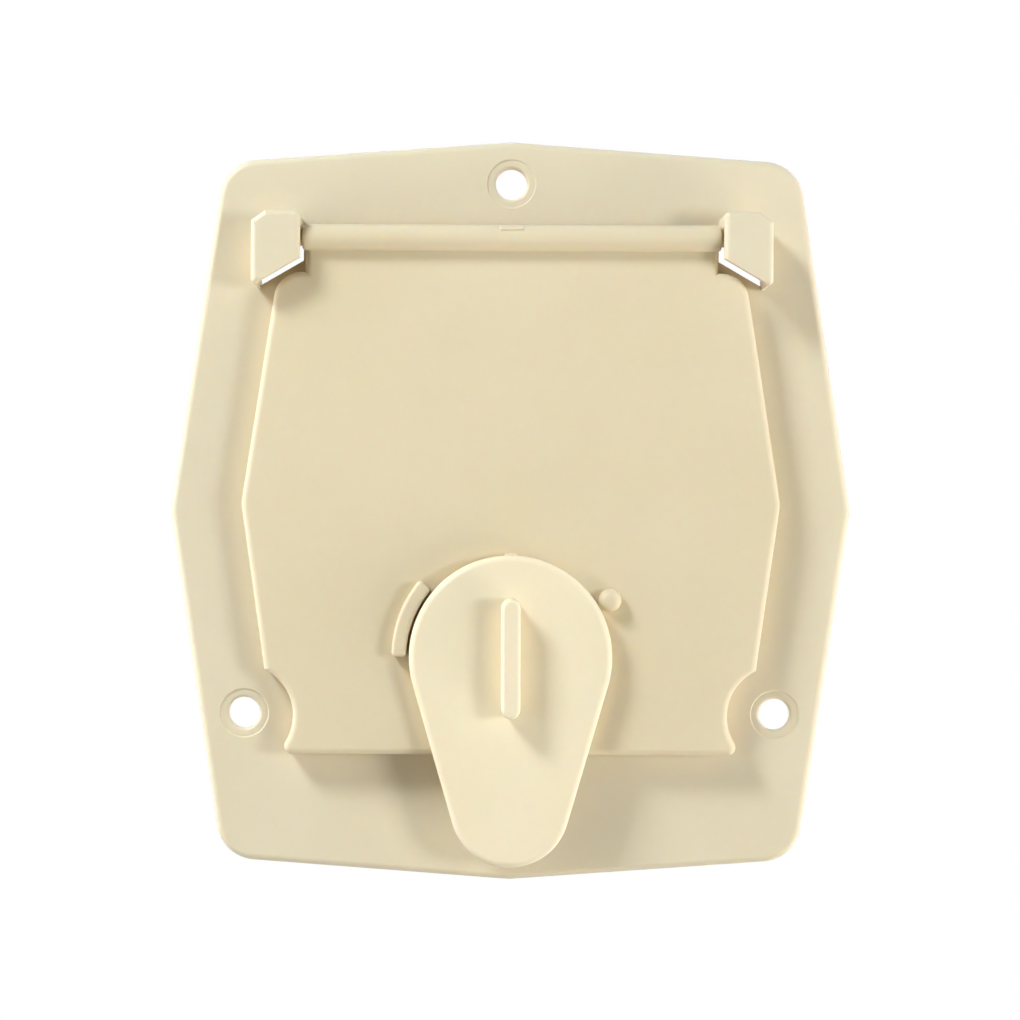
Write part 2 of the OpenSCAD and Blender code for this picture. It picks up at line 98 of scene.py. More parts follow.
# %% [markdown]
# ## Surfaces from outlines
# Nearly every wall of a moulding is one idea: an outline that is drawn again and again, a bit
# further inside its edge and a bit higher. That is a surface of two parameters, the place along
# the outline and the step of the profile, so it is computed as one array. Flat faces between
# outlines are filled by a constrained triangulation, which takes any number of holes. Modelling
# the same by hand with Boolean and Bevel modifiers would leave less even edges.

# %% Helpers for outlines and profiles


def arc(centre, radius, start, stop, steps):
    """Points on a circle: the centre plus radius times (cos a, sin a), a running from start to stop degrees."""
    a = np.radians(np.linspace(start, stop, steps + 1))
    return np.asarray(centre, float) + radius * np.stack([np.cos(a), np.sin(a)], -1)


def circle(centre, radius, steps=64):
    """A whole circle, without repeating its first point."""
    return arc(centre, radius, 0, 360, steps)[:-1]


def joined(*stretches):
    """One list of points out of points and arcs, in order."""
    return np.concatenate([np.atleast_2d(np.asarray(stretch, float)) for stretch in stretches])


def unit(v):
    """The vector divided by its length."""
    return v / np.linalg.norm(v)


def left_of(v):
    """The vector turned left by a right angle: (x, y) becomes (-y, x)."""
    return np.array([-v[1], v[0]])


def inset_corner(a, p, b, d):
    """Corner p of a counterclockwise outline, met from a and left towards b, moved in by d along both legs' normals."""
    nu, nv = left_of(unit(p - a)), left_of(unit(b - p))
    return p + d * (nu + nv) / (1 + nu @ nv)


def fillet(a, p, b, radius, steps):
    """Arc that touches both legs of the corner a, p, b; its centre lies radius / cos(half the turn) from p."""
    u, v = unit(p - a), unit(b - p)
    turn = math.degrees(math.acos(u @ v))
    centre = p + radius / math.cos(math.radians(turn / 2)) * unit(v - u)
    start = math.degrees(math.atan2(-u[0], u[1]))
    return arc(centre, radius, start, start + turn, steps)


LEAST_R = 0.05


def rounded_outline(corners, d, steps=8):
    """A convex outline of (x, y, radius) corners, drawn d inside its edge, each corner a fillet of radius less d."""
    n = len(corners)
    p = [np.array(corner[:2], float) for corner in corners]
    q = [inset_corner(p[i - 1], p[i], p[(i + 1) % n], d) for i in range(n)]
    return joined(*[
        fillet(q[i - 1], q[i], q[(i + 1) % n], max(corners[i][2] - d, LEAST_R), steps) for i in range(n)
    ])


def rectangle(left, right, low, high, radius):
    """The four corners (x, y, radius) of a rectangle, counterclockwise from the lower left."""
    return [(left, low, radius), (right, low, radius), (right, high, radius), (left, high, radius)]


def front_edge(radius, top, steps=7):
    """Profile of a rounded front edge, (inset, height): a quarter circle from the side wall up to the face."""
    return arc((radius, top - radius), radius, 180, 90, steps)


def foot_edge(radius, base, root=1.2, steps=4):
    """Profile of the fillet at a foot, (inset, height): a hollow quarter circle from the ground up to the side wall,
    begun by a root below the ground, so that the foot grows out of it and light can pass on into it."""
    return joined((-radius, base - root), arc((-radius, base + radius), radius, -90, 0, steps))


HOLLOW_R, RIM_R = 0.4, 0.2


def tray_rows(wall, inside, back, edge_r, face):
    """Profile of a hollow tray, (inset, height): from the hollow's rounded root down its wall, round the rim at the
    back and up the outside to the rounded front edge."""
    return joined(
        arc((wall + HOLLOW_R, inside - HOLLOW_R), HOLLOW_R, 90, 180, 4),
        arc((wall - RIM_R, back + RIM_R), RIM_R, 0, -90, 3),
        arc((RIM_R, back + RIM_R), RIM_R, -90, -180, 3),
        front_edge(edge_r, face, 9),
    )


print("a front edge of 1 mm runs from", front_edge(1, 1)[0], "to", front_edge(1, 1)[-1])

# %% [markdown]
# ## From outlines to closed meshes
# A grid of points becomes faces by joining neighbours. Each mesh is welded where its parts meet, the
# count of open edges shows whether it is closed, and one modifier keeps flat faces looking flat.

# %% Helpers that turn outlines into faces


def skin(outline, rows):
    """Grid of points: row k is the outline drawn rows[k][0] inside its edge, at the height rows[k][1]."""
    flat = np.stack([outline(inset) for inset, _ in rows])
    heights = np.broadcast_to(rows[:, 1, None, None], flat.shape[:2] + (1,))
    return np.concatenate([flat, heights], -1)


def turned(centre, rows, steps=64):
    """Grid of points: the (radius, height) profile turned about an upright axis through the centre."""
    return skin(lambda radius: circle(centre, radius, steps), rows)


def quads(grid, closed=True):
    """Points and faces of a grid: each face joins two neighbours of one row to the two above them."""
    rows, cols = grid.shape[:2]
    r, c = np.meshgrid(np.arange(rows - 1), np.arange(cols if closed else cols - 1), indexing="ij")
    after = (c + 1) % cols
    faces = np.stack([r * cols + c, r * cols + after, (r + 1) * cols + after, (r + 1) * cols + c], -1)
    return grid.reshape(-1, 3), faces.reshape(-1, 4)


def inside(points, loop):
    """True where a point lies inside the loop: a ray to the right crosses it an odd number of times."""
    a, b = loop, np.roll(loop, -1, 0)
    x, y = points[:, 0, None], points[:, 1, None]
    spans = (a[:, 1] > y) != (b[:, 1] > y)
    rise = np.where(b[:, 1] == a[:, 1], 1, b[:, 1] - a[:, 1])
    return (spans & (x < a[:, 0] + (y - a[:, 1]) * (b[:, 0] - a[:, 0]) / rise)).sum(1) % 2 == 1


def fill(height, *loops, down=False):
    """Flat face between closed loops: of a constrained triangulation, the triangles inside an odd number of loops."""
    starts = np.cumsum([0] + [len(loop) for loop in loops])
    edges = [(s + i, s + (i + 1) % len(loop)) for s, loop in zip(starts, loops) for i in range(len(loop))]
    found = delaunay_2d_cdt([Vector(p) for p in np.concatenate(loops)], edges, [], 0, 1e-5)
    flat, faces = np.array([tuple(v) for v in found[0]]), np.array(found[2])
    middle = flat[faces].mean(1)
    faces = faces[sum(inside(middle, loop).astype(int) for loop in loops) % 2 == 1]
    u, v = flat[faces[:, 1]] - flat[faces[:, 0]], flat[faces[:, 2]] - flat[faces[:, 0]]
    wrong = (u[:, 0] * v[:, 1] - u[:, 1] * v[:, 0] < 0) != down
    faces[wrong] = faces[wrong][:, ::-1]
    return np.column_stack([flat, np.full(len(flat), height)]), faces


def placed(part, origin, across, along, out):
    """A part moved from (x, y, z) to origin + x * across + y * along + z * out, with its faces kept outwards."""
    points, faces = part
    return np.asarray(origin, float) + points @ np.array([across, along, out], float), faces


def slab(outline, rows):
    """Closed solid: the skin of an outline along a profile, with its lowest and highest outlines filled."""
    low, high = rows[0], rows[-1]
    return [quads(skin(outline, rows)), fill(low[1], outline(low[0]), down=True), fill(high[1], outline(high[0]))]


def finish_mesh(name, parts, sharp=38):
    """One mesh out of parts, welded where they meet and shaded smooth up to the sharp angle in degrees."""
    starts = np.cumsum([0] + [len(points) for points, _ in parts])
    points = stand_up(np.concatenate([p for p, _ in parts]))
    faces = [face for start, (_, group) in zip(starts, parts) for face in (np.asarray(group) + start).tolist()]
    mesh = bpy.data.meshes.new(name)
    mesh.from_pydata(points, [], faces)
    weld = bmesh.new()
    weld.from_mesh(mesh)
    bmesh.ops.remove_doubles(weld, verts=weld.verts, dist=2e-6)
    bmesh.ops.dissolve_degenerate(weld, edges=weld.edges, dist=1e-6)
    open_edges = sum(not edge.is_manifold for edge in weld.edges)
    weld.to_mesh(mesh)
    weld.free()
    mesh.shade_smooth()
    mesh.set_sharp_from_angle(angle=math.radians(sharp))
    print(f"{name}: {len(mesh.polygons)} faces, {open_edges} open edges")
    return mesh


def new_object(name, data):
    """An object in the scene, at the origin and unscaled."""
    made = bpy.data.objects.new(name, data)
    bpy.context.scene.collection.objects.link(made)
    return made


def piece(name, body, parts, *nodes, slot="cream_plastic", sharp=38):
    """A finished piece that rides on its body in place of its CAD nodes, its flat faces kept flat at their edges."""
    thing = new_object(name, finish_mesh(name, parts, sharp))
    thing.modifiers.new("flat faces stay flat", "WEIGHTED_NORMAL").keep_sharp = True
    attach(thing, body)
    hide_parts(*nodes)
    return thing


# %% [markdown]
# ## The flange plate
# The plate is a thin moulding whose four sides lean out to a soft point, so its outline has eight
# corners, each a fillet of its own radius. Its front edge is rounded, and its back lies flat on the wall.
# Each screw hole sits in a shallow round seat. The big opening and the cord's notch are one keyhole.
# The two slots under the brackets go right through, because a core of the mould stands there.

# %% Outlines of the plate
half_w, half_h = 68.25, 74.0
side_lean, top_fall = 10.6, 4.2
corner_r, side_r, top_r = 8.0, 8.0, 10.0
plate_face = flat_box("mounting_plate")[1][2]


def plate_outline(d):
    """The plate's outline, d inside its edge: eight corners from the right point round to the lower right."""
    x, y = half_w - side_lean, half_h - top_fall
    return rounded_outline([
        (half_w, 0, side_r), (x, y, corner_r), (0, half_h, top_r), (-x, y, corner_r),
        (-half_w, 0, side_r), (-x, -y, corner_r), (0, -half_h, top_r), (x, -y, corner_r),
    ], d, 12)


opening_r, notch_w = 45.8, 17.4
tail_r, tail_border = 11.75, 3.9
tail_end = np.array([0, tail_border + tail_r - half_h])


def keyhole(d):
    """The round opening and the notch below it, widened by d: the circle from where the notch's right side meets
    it round to its left side, then down that side and round the notch's end."""
    half = notch_w / 2 + d
    meet = math.degrees(math.asin(half / (opening_r + d)))
    return joined(
        arc((0, 0), opening_r + d, -90 + meet, 270 - meet, 150),
        arc(tail_end, half, 180, 360, 24),
    )


print("face of the plate at", round(plate_face, 3), "end of the notch at", np.round(tail_end, 2))

# %% [markdown]
# ## Where the rod is held
# The brackets are hollow from behind. The core that makes the hollow also makes the slot through
# the plate, so both take one outline, and the white strip beside each bracket is the light behind.
# The plate keeps a small lip along the slant, which makes that strip as narrow as in the photograph.

# %% Outline of the core behind a bracket
rod_low, rod_high = flat_box("hinge_rod")
rod_r = (rod_high[1] - rod_low[1]) / 2
hinge_y, hinge_z = rod_high[1] - rod_r, rod_high[2] - rod_r
journal_r, bearing_len, bearing_r, journal_gap = 1.7, 3.4, 1.8, 0.3
journal_end = rod_high[0]
bracket_low, bracket_high = flat_box("right_hinge_bracket")
bracket_in, bracket_out, bracket_top = bracket_low[0], bracket_high[0], bracket_high[1]
bracket_foot = bracket_low[1]
slant_in_drop, slant_out_drop, bracket_wall = 4.3, 9.3, 1.1
core_above, core_below, core_past, lip = 0.3, 1.6, 0.1, 0.35
slant_in = np.array([bracket_in, hinge_y - slant_in_drop])
slant_out = np.array([bracket_out - bracket_wall, hinge_y - slant_out_drop])
bearing_x = journal_end - bearing_len
core_top, core_low = hinge_y + journal_r + core_above, hinge_y - journal_r - core_below
core_loop = np.array([
    (bracket_in - core_past, core_top), (bracket_in - core_past, slant_in[1] + lip), slant_out + (0, lip),
    (slant_out[0], core_low), (bearing_x, core_low), (bearing_x, core_top),
])
mirror = np.array([-1, 1])
print("hinge axis at", np.round([hinge_y, hinge_z], 2), "core between", np.round([bearing_x, slant_out[0]], 2))

# %% [markdown]
# ## The plate as one mesh
# The edge, the keyhole, the seats and the slots are strips of faces, and a front and a back face with
# holes join them. A seat has a low raised rim round it, which catches the light as a thin ring.

# %% Build the plate
plate_edge_r, opening_edge_r = 1.5, 0.4
hole_r, hole_edge_r = 3.15, 0.6
seat_r, seat_edge_r, seat_deep, burr = 4.8, 0.12, 0.2, 0.03
low_hole = np.array([half_w - 15.1, 33.3 - half_h])
screw_holes = [np.array([0, half_h - 8.5]), low_hole, low_hole * mirror]
seat_floor = plate_face - seat_deep

seat_rows = joined(
    (seat_r + 0.6, plate_face), (seat_r + 0.4, plate_face + burr), (seat_r + 0.25, plate_face + burr),
    arc((seat_r + seat_edge_r, plate_face - seat_edge_r), seat_edge_r, 90, 180, 3),
    (seat_r - 0.05, seat_floor),
    arc((hole_r + hole_edge_r, seat_floor - hole_edge_r), hole_edge_r, 90, 180, 5),
    (hole_r, 0),
)
opening_rows = joined(arc((opening_edge_r, plate_face - opening_edge_r), opening_edge_r, 90, 180, 4), (0, 0))
cores = [core_loop, core_loop[::-1] * mirror]

plate = piece(
    "flange_plate", "flange",
    [
        quads(skin(plate_outline, joined((0, 0), front_edge(plate_edge_r, plate_face, 9)))),
        quads(skin(keyhole, opening_rows)),
        *[quads(turned(at, seat_rows)) for at in screw_holes],
        *[quads(skin(lambda d, loop=loop: loop, joined((0, plate_face), (0, 0)))) for loop in cores],
        fill(plate_face, plate_outline(plate_edge_r), keyhole(opening_edge_r),
             *[circle(at, seat_r + 0.6) for at in screw_holes], *cores),
        fill(0, plate_outline(0), keyhole(0), *[circle(at, hole_r) for at in screw_holes], *cores, down=True),
    ],
    "mounting_plate",
)

# %% [markdown]
# ## Rings with a gap
# The collar behind the plate and the ring behind the lid are both a round wall with a straight gap
# for the cord. A section is carried round a circle. Every point of it stops where it meets the gap's
# flat side, so the ends are flat and parallel, and each end is closed by one face.

# %% Build the collar and the lid's ring


def gapped_ring(inner, outer, low, high, gap, edge, steps=120):
    """Round wall with a gap at the bottom: at radius r the angle runs from -90 degrees plus asin(gap / 2r) round to
    270 degrees less the same."""
    section = rounded_outline(rectangle(inner, outer, low, high, edge), 0, 3)[::-1]
    cut = np.arcsin(gap / 2 / section[:, 0])
    along = np.linspace(0, 1, steps + 1)[:, None]
    a = -np.pi / 2 + cut + along * 2 * (np.pi - cut)
    heights = np.broadcast_to(section[:, 1], a.shape)
    grid = np.stack([section[:, 0] * np.cos(a), section[:, 0] * np.sin(a), heights], -1)
    order = np.arange(len(section))
    return [quads(grid), (grid[0], [order[::-1]]), (grid[-1], [order])]


collar_low, collar_high = flat_box("rear_collar")
collar = piece(
    "rear_collar_ring", "flange",
    gapped_ring(opening_r, collar_high[0], collar_low[2], 0.05, notch_w, 0.4),
    "rear_collar",
)
ring_low, ring_high = flat_box("lid_ring")
ring_wall, ring_gap = 1.8, 0.6
ring = piece(
    "lid_centring_ring", "lid",
    gapped_ring(ring_high[0] - ring_wall, ring_high[0], ring_low[2], ring_high[2] + 0.05, notch_w + 2 * ring_gap, 0.3),
    "lid_ring",
)

# %% [markdown]
# ## The hinge brackets
# Each bracket is a block with a rounded front edge and one corner cut off. Below, it is cut along a
# slant with sharp edges, where the mould's core shuts off, and there one looks through to the light.
# So the outline has a closed stretch, whose wall goes down to the plate, and an open one, whose wall
# stops at the roof above the core. The left bracket is the right one's points mirrored, faces turned.

# %% Outline of a bracket
cut_w, cut_h, cut_r, bracket_corner_r = 2.7, 2.0, 0.4, 1.0
bracket_face = bracket_high[2]
roof, bracket_edge_r, foot_r = 2.0, 1.2, 0.2
slant = (slant_out - slant_in)[1] / (slant_out - slant_in)[0]


def slant_y(x):
    """Height of the slanted edge at x: a straight line from its inner to its outer end."""
    return slant_in[1] + slant * (x - slant_in[0])


def bracket_outline(d):
    """The right bracket, d inside its edge: down its inner side and along the slant, where it is open below, then
    round the outer wall's foot and the other corners."""
    corners = [
        (bracket_in, bracket_foot, bracket_corner_r), (bracket_out, bracket_foot, bracket_corner_r),
        (bracket_out, bracket_top - cut_h, cut_r), (bracket_out - cut_w, bracket_top, cut_r),
        (bracket_in, bracket_top, bracket_corner_r),
    ]
    # the first corner's nine points are left out, because the block is open there
    inner, foot = bracket_in + d, bracket_foot + d
    end_x = min(slant_out[0], slant_in[0] + (foot - slant_in[1]) / slant)
    return joined(
        (inner, core_top), (inner, slant_y(inner)), (end_x, slant_y(end_x)), (end_x, foot),
        rounded_outline(corners, d)[9:],
    )


def closed_stretch(row):
    """The points of a bracket's outline whose wall reaches the plate: from the slant's end round to the core's top."""
    return np.concatenate([row[2:], row[:1]])


roof_back = bracket_face - roof
print("slanted edge falls", round(-slant, 3), "per millimetre")

# %% [markdown]
# ## Closing a bracket round its core
# The block's wall stops where the core comes out, so the core's own walls close the hollow. The wall
# with the bearing stands upright: it is filled lying down and then turned to its place.

# %% Build both brackets


def bracket_parts():
    """The right bracket: skin, roof above the core, the core's walls with the bearing, and the foot's underside."""
    upper = skin(bracket_outline, joined((0, roof_back), front_edge(bracket_edge_r, bracket_face)))
    foot_rows = joined(foot_edge(foot_r, plate_face, 0.1), (0, roof_back))
    lower = skin(lambda d: closed_stretch(bracket_outline(d)), foot_rows)
    # the core's walls start at the skin's last column and end at its first one
    heights = lower[:, 0, 2]
    path = np.array([(bearing_x, core_top), (bearing_x, core_low), (slant_out[0], core_low)])
    columns = [np.column_stack([np.tile(p, (len(heights), 1)), heights])[:, None] for p in path]
    above = np.concatenate([lower[:, -1:], columns[0]], 1)
    below = np.concatenate([*columns[1:], lower[:, :1]], 1)
    # the bearing's wall is filled in the plane of y and z, and the journal's hole goes on into the block
    wall = joined(*[(core_low, z) for z in heights], *[(core_top, z) for z in heights[::-1]])
    hole = circle((hinge_y, hinge_z), bearing_r, 32)
    depth = journal_end + journal_gap
    bore = quads(turned((hinge_y, hinge_z), joined((bearing_r, depth), (bearing_r, bearing_x)), 32))
    sideways = dict(origin=(0, 0, 0), across=(0, 1, 0), along=(0, 0, 1), out=(1, 0, 0))
    bearing = (fill(bearing_x, wall, hole, down=True), bore, fill(depth, hole, down=True))
    return [
        quads(upper), quads(lower, closed=False), quads(above, closed=False), quads(below, closed=False),
        fill(bracket_face, bracket_outline(bracket_edge_r)),
        fill(roof_back, np.concatenate([upper[0, :3, :2], path[::-1]]), down=True),
        fill(heights[0], np.concatenate([lower[0, :, :2], path]), down=True),
        *[placed(part, **sideways) for part in bearing],
    ]


def mirrored(parts):
    """The parts on the left: x negated, and each face's points in reverse order, so that it still faces outwards."""
    return [(points * (-1, 1, 1), np.asarray(faces)[:, ::-1]) for points, faces in parts]


brackets = [
    piece(f"{side}_bracket", "flange", parts, f"{side}_hinge_bracket", sharp=30)
    for side, parts in (("right", bracket_parts()), ("left", mirrored(bracket_parts())))
]

# %% [markdown]
# ## The lid
# The lid is a shallow tray. Its sides lean out to a soft point, its shoulders curve in under the
# brackets, and its lower corners are cleared round the screw holes. One outline serves for all: near
# its edge it closes at the rod, and further in, at the hollow's wall, it closes at the bar below the rod.
# The round rib behind has left a sink mark on the face, a dent of a few hundredths of a millimetre, and
# it is real geometry here, because side light shows it.

# %% Outline of the lid
lid_side, lid_bottom = half_w - 14.8, 25.6 - half_h
lid_wall, lid_edge_r = 2.0, 1.4
clearing_r, clearing_in, low_corner_r = 10.1, 4.7, 1.6
point_up, point_r = 1.3, 4.0
neck_x, shoulder_y, shoulder_r, shoulder_flat = bracket_in - 0.8, hinge_y - 6.7, 5.6, 0.7
bar_y = hinge_y - rod_r - 2.5
lid_low, lid_high = flat_box("lid_panel")
lid_face, lid_back = lid_high[2], lid_low[2]
lid_inside = flat_box("lid_ring")[1][2]


def lid_half(d):
    """Right half of the lid, d inside its edge: the low corner, the clearing round the screw hole, the side with its
    soft point, the shoulder's arc, and the neck up to the rod or, inside the side wall, to the bar below it."""
    low_r = max(low_corner_r - d, LEAST_R)
    low_y = lid_bottom + d + low_r
    low_c = (low_hole[0] - math.sqrt((clearing_r + d + low_r) ** 2 - (low_hole[1] - low_y) ** 2), low_y)
    meet = math.degrees(math.atan2(low_hole[1] - low_y, low_hole[0] - low_c[0]))
    side_x = lid_side - clearing_in
    corner = np.array([side_x, low_hole[1] + math.sqrt(clearing_r ** 2 - (low_hole[0] - side_x) ** 2)])
    point = np.array([lid_side, point_up])
    shoulder_c = np.array([neck_x + shoulder_flat, shoulder_y - shoulder_r])
    reach = point - shoulder_c
    leave = math.atan2(reach[1], reach[0]) + math.acos(shoulder_r / np.linalg.norm(reach))
    touch = shoulder_c + shoulder_r * np.array([math.cos(leave), math.sin(leave)])
    # the side's lower stretch, moved in, cuts the clearing's circle
    side = unit(point - corner)
    a = corner + d * left_of(side)
    near = a + ((low_hole - a) @ side) * side
    cut = near + math.sqrt((clearing_r + d) ** 2 - (low_hole - near) @ (low_hole - near)) * side - low_hole
    top = hinge_y if d <= lid_edge_r else bar_y + lid_wall - d
    return joined(
        arc(low_c, low_r, -90, meet, 6),
        arc(low_hole, clearing_r + d, 180 + meet, math.degrees(math.atan2(cut[1], cut[0])), 30)[1:],
        fillet(a, inset_corner(corner, point, touch, d), touch, point_r, 6),
        arc(shoulder_c, shoulder_r - d, math.degrees(leave), 90, 16),
        (neck_x - d, shoulder_y - d), (neck_x - d, top),
    )


def lid_outline(d):
    """Both halves of the lid: the right one, then its mirror image in reverse order."""
    half = lid_half(d)
    return joined(half, half[::-1] * mirror)


print("lid spans", np.round(lid_outline(0).min(0), 2), "to", np.round(lid_outline(0).max(0), 2))

# %% [markdown]
# ## The lid as one mesh
# One profile runs from the hollow round the rim and up to the face, and the sink mark is a ring of
# faces let into that face.

# %% Build the lid
disc_r, pivot = 20.0, np.array([0, lid_bottom + 19.6])
hub_hole_r = 5.1
mark_r, mark_w, mark_deep = ring_high[0] - ring_wall / 2, 2.4, 0.04


def sink_mark(middle, width, depth, level):
    """Profile across a round sink mark, (radius, height): the level less depth times a cosine bell of that width."""
    r = np.linspace(middle + width, middle - width, 17)
    bell = 0.5 + 0.5 * np.cos(np.pi * (r - middle) / width)
    return np.stack([r, level - depth * bell], -1)


mark_rows = sink_mark(mark_r, mark_w, mark_deep, lid_face)
hub_hole_rows = joined(
    arc((hub_hole_r + RIM_R, lid_face - RIM_R), RIM_R, 90, 180, 3),
    arc((hub_hole_r + RIM_R, lid_inside + RIM_R), RIM_R, 180, 270, 3),
)
ring_steps = 180
lid = piece(
    "lid_tray", "lid",
    [
        quads(skin(lid_outline, tray_rows(lid_wall, lid_inside, lid_back, lid_edge_r, lid_face))),
        quads(turned((0, 0), mark_rows, ring_steps)),
        quads(turned(pivot, hub_hole_rows)),
        fill(lid_face, lid_outline(lid_edge_r), circle((0, 0), mark_rows[0][0], ring_steps)),
        fill(lid_face, circle((0, 0), mark_rows[-1][0], ring_steps), circle(pivot, hub_hole_rows[0][0])),
        fill(lid_inside, lid_outline(lid_wall + HOLLOW_R), circle(pivot, hub_hole_rows[-1][0]), down=True),
    ],
    "lid_panel",
)

# %% [markdown]
# ## The rod
# The rod is one with the lid. It ends in a small shoulder and a thinner journal on each side, which
# turns in the bracket. The small flat block near its top is where the plastic flowed into the mould. It
# is a piece of its own that reaches into the rod, so that both stay closed and light passes evenly.

# %% Build the rod and its gate mark
rod_end = bracket_in - 0.25
end_r, tip_r = 0.7, 0.4
half_rod = joined(
    arc((rod_end - end_r, rod_r - end_r), end_r, 90, 0, 4),
    (rod_end, journal_r),
    (journal_end - tip_r, journal_r), (journal_end, journal_r - tip_r), (journal_end, 0),
)
middle_rows = np.column_stack([np.linspace(-1, 1, 41) * (rod_end - end_r - 1), np.full(41, rod_r)])
rod_rows = joined(half_rod[::-1] * mirror, middle_rows, half_rod)
a = np.linspace(0, 2 * np.pi, 48, endpoint=False)
rod_grid = np.stack([
    np.broadcast_to(rod_rows[:, :1], (len(rod_rows), len(a))),
    hinge_y + rod_rows[:, 1:] * np.cos(a),
    hinge_z + rod_rows[:, 1:] * np.sin(a),
], -1)

gate_w, gate_h, gate_out, gate_x, gate_turn = 4.7, 1.2, 0.35, -0.1, 42
gate_corners = rectangle(-gate_w / 2, gate_w / 2, -gate_h / 2, gate_h / 2, 0.2)
gate_rows = joined((0, -1.5), front_edge(0.2, gate_out, 4))
gate = []
for points, faces in slab(lambda d: rounded_outline(gate_corners, d, 3), gate_rows):
    # bent round the rod: across the rod becomes an angle, and height is added to its radius
    angle = math.radians(gate_turn) + points[:, 1] / rod_r
    reach = rod_r + points[:, 2]
    bent = np.column_stack([gate_x + points[:, 0], hinge_y + reach * np.sin(angle), hinge_z + reach * np.cos(angle)])
    gate.append((bent, faces))
rod = piece("lid_rod", "lid", [quads(rod_grid)], "hinge_rod")
rod_gate = piece("rod_gate_mark", "lid", gate)

# %% [markdown]
# ## The stops
# Two raised stops stand beside the cover's disc and end its swing: a curved wall on the left and a
# stud on the right. Both grow out of the lid with a small fillet and have soft tops.

# %% Build the stops
stop_top = flat_box("curved_stop")[1][2]
stop_in, stop_w, stop_corner_r = disc_r + 0.5, 2.9, 0.8
stop_from, stop_to = 140, 180
stud_r, stud_angle = 2.15, math.radians(29.7)


def stop_outline(d):
    """The curved stop, d inside its edge: arcs about the pivot outside and inside, with the four corners' centres
    kept, so that all its radii shrink or grow by d."""
    outer = stop_in + stop_w
    turn_in = math.degrees(math.asin(stop_corner_r / (stop_in + stop_corner_r)))
    turn_out = math.degrees(math.asin(stop_corner_r / (outer - stop_corner_r)))

    def corner(radius, angle, start, stop):
        centre = pivot + radius * np.array([math.cos(math.radians(angle)), math.sin(math.radians(angle))])
        return arc(centre, stop_corner_r - d, start, stop, 6)

    far, near = outer - stop_corner_r, stop_in + stop_corner_r
    return joined(
        arc(pivot, outer - d, stop_from + turn_out, stop_to - turn_out, 24)[1:-1],
        corner(far, stop_to - turn_out, stop_to - turn_out, stop_to + 90),
        corner(near, stop_to - turn_in, stop_to + 90, stop_to + 180 - turn_in),
        arc(pivot, stop_in + d, stop_to - turn_in, stop_from + turn_in, 24)[1:-1],
        corner(near, stop_from + turn_in, stop_from + 180 + turn_in, stop_from + 270),
        corner(far, stop_from + turn_out, stop_from - 90, stop_from + turn_out),
    )


curved_stop = piece(
    "curved_stop_wall", "lid",
    slab(stop_outline, joined(foot_edge(0.15, lid_face), front_edge(0.7, stop_top))),
    "curved_stop",
)
stud_at = pivot + (stop_in + stud_r) * np.array([math.cos(stud_angle), math.sin(stud_angle)])
round_stop = piece(
    "round_stop_stud", "lid",
    slab(lambda d: circle(stud_at, stud_r - d, 48), joined(foot_edge(0.15, lid_face), front_edge(1.7, stop_top))),
    "round_stop",
)

# %% [markdown]
# ## The cord cover
# The cover is a teardrop shell: two arcs and the two lines that touch both. It is hollow behind, with
# a web in the tail. The web has left a faint sink mark on the tail's face, and the gate a small nub at
# the top of the disc. A straight rib stands on the disc to turn it by.

# %% Outline of the cover
cover_low, cover_high = flat_box("cord_cover")
cover_back, cover_face = cover_low[2], cover_high[2]
cover_wall, cover_edge_r, cover_skin = 1.6, 1.3, 1.8
cover_inside = cover_face - cover_skin
tail_slope = math.degrees(math.asin((disc_r - tail_r) / (pivot[1] - tail_end[1])))


def cover_outline(d):
    """The teardrop, d inside its edge: the disc's arc and the tail's arc, each ending where a flank touches it."""
    return joined(
        arc(pivot, disc_r - d, -tail_slope, 180 + tail_slope, 96),
        arc(tail_end, tail_r - d, 180 + tail_slope, 360 - tail_slope, 48),
    )


print("flanks of the tail lean", round(tail_slope, 2), "degrees")

# %% [markdown]
# ## The shell and its gate mark
# The shell has the lid's kind of profile. The dent is a bell shape let into the face, and the gate
# mark is drawn lying down, then turned to stand out of the disc's upper edge.

# %% Build the cover
dent_at, dent_r, dent_deep = tail_end + (-0.2, -0.6), 3.3, 0.2
# the first nine of the 17 steps run from the dent's edge to its middle
dent_rows = sink_mark(0, dent_r, dent_deep, cover_face)[:9]
nub_w, nub_h, nub_out, nub_mid = 2.4, 1.5, 0.3, 10.0
nub_corners = rectangle(-nub_w / 2, nub_w / 2, -nub_h / 2, nub_h / 2, 0.25)
nub = slab(lambda d: rounded_outline(nub_corners, d, 3), joined((0, -1.5), front_edge(0.12, nub_out, 3)))
nub_axes = dict(across=(-1, 0, 0), along=(0, 0, 1), out=(0, 1, 0))
cover = piece(
    "cover_shell", "cover",
    [
        quads(skin(cover_outline, tray_rows(cover_wall, cover_inside, cover_back, cover_edge_r, cover_face))),
        quads(turned(dent_at, dent_rows, 48)),
        fill(cover_face, cover_outline(cover_edge_r), circle(dent_at, dent_r, 48)),
        fill(cover_inside, cover_outline(cover_wall + HOLLOW_R), down=True),
    ],
    "cord_cover",
)
cover_gate = piece(
    "cover_gate_mark", "cover",
    [placed(part, (0, pivot[1] + disc_r, nub_mid), **nub_axes) for part in nub],
)

# %% [markdown]
# ## What stands on the shell and behind it
# The rib is a bar with round ends, for a thumb to push. The web is a thin wall behind the tail, drawn
# upwards and then turned over.

# %% Build the grip rib and the tail's web
rib_low, rib_high = flat_box("grip_rib")
rib_r = rib_high[0]
rib_end = (rib_high[1] - rib_low[1]) / 2 - rib_r


